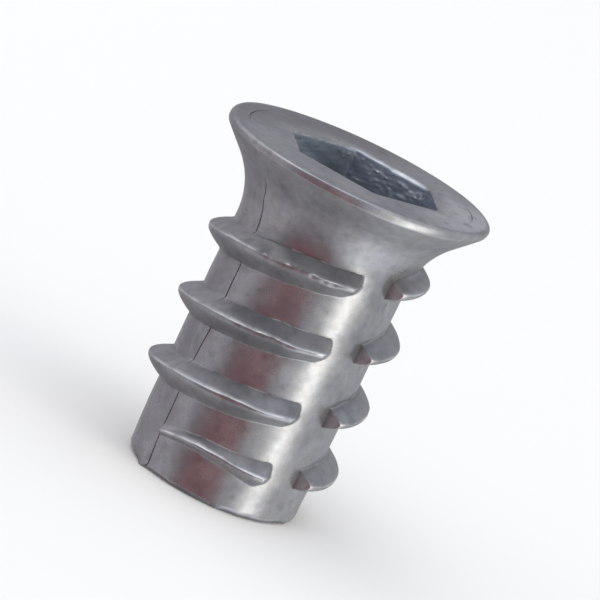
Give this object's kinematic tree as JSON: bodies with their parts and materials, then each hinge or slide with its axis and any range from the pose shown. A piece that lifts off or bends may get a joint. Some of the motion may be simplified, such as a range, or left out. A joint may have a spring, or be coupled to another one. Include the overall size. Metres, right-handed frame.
{
  "type": "flanged threaded insert",
  "caption": "Cast threaded insert for wood: flared round head with a hex drive socket, a tubular shank with a coarse outer rib broken by flutes, and a metric thread inside.",
  "frame": {"origin": "centre of the bottom end, which the part stands on", "axes": "+Z along the axis from the bottom end to the head; the mould halves meet on the XZ plane and the flutes face -Y and +Y"},
  "size_m": [0.016, 0.016, 0.02],
  "materials": {
    "cast_zinc": "satin as-cast zinc alloy, mid grey, tumbled, with a soft metallic sheen"
  },
  "bodies": {
    "root": {"insert": "cast_zinc"}
  },
  "joints": []
}
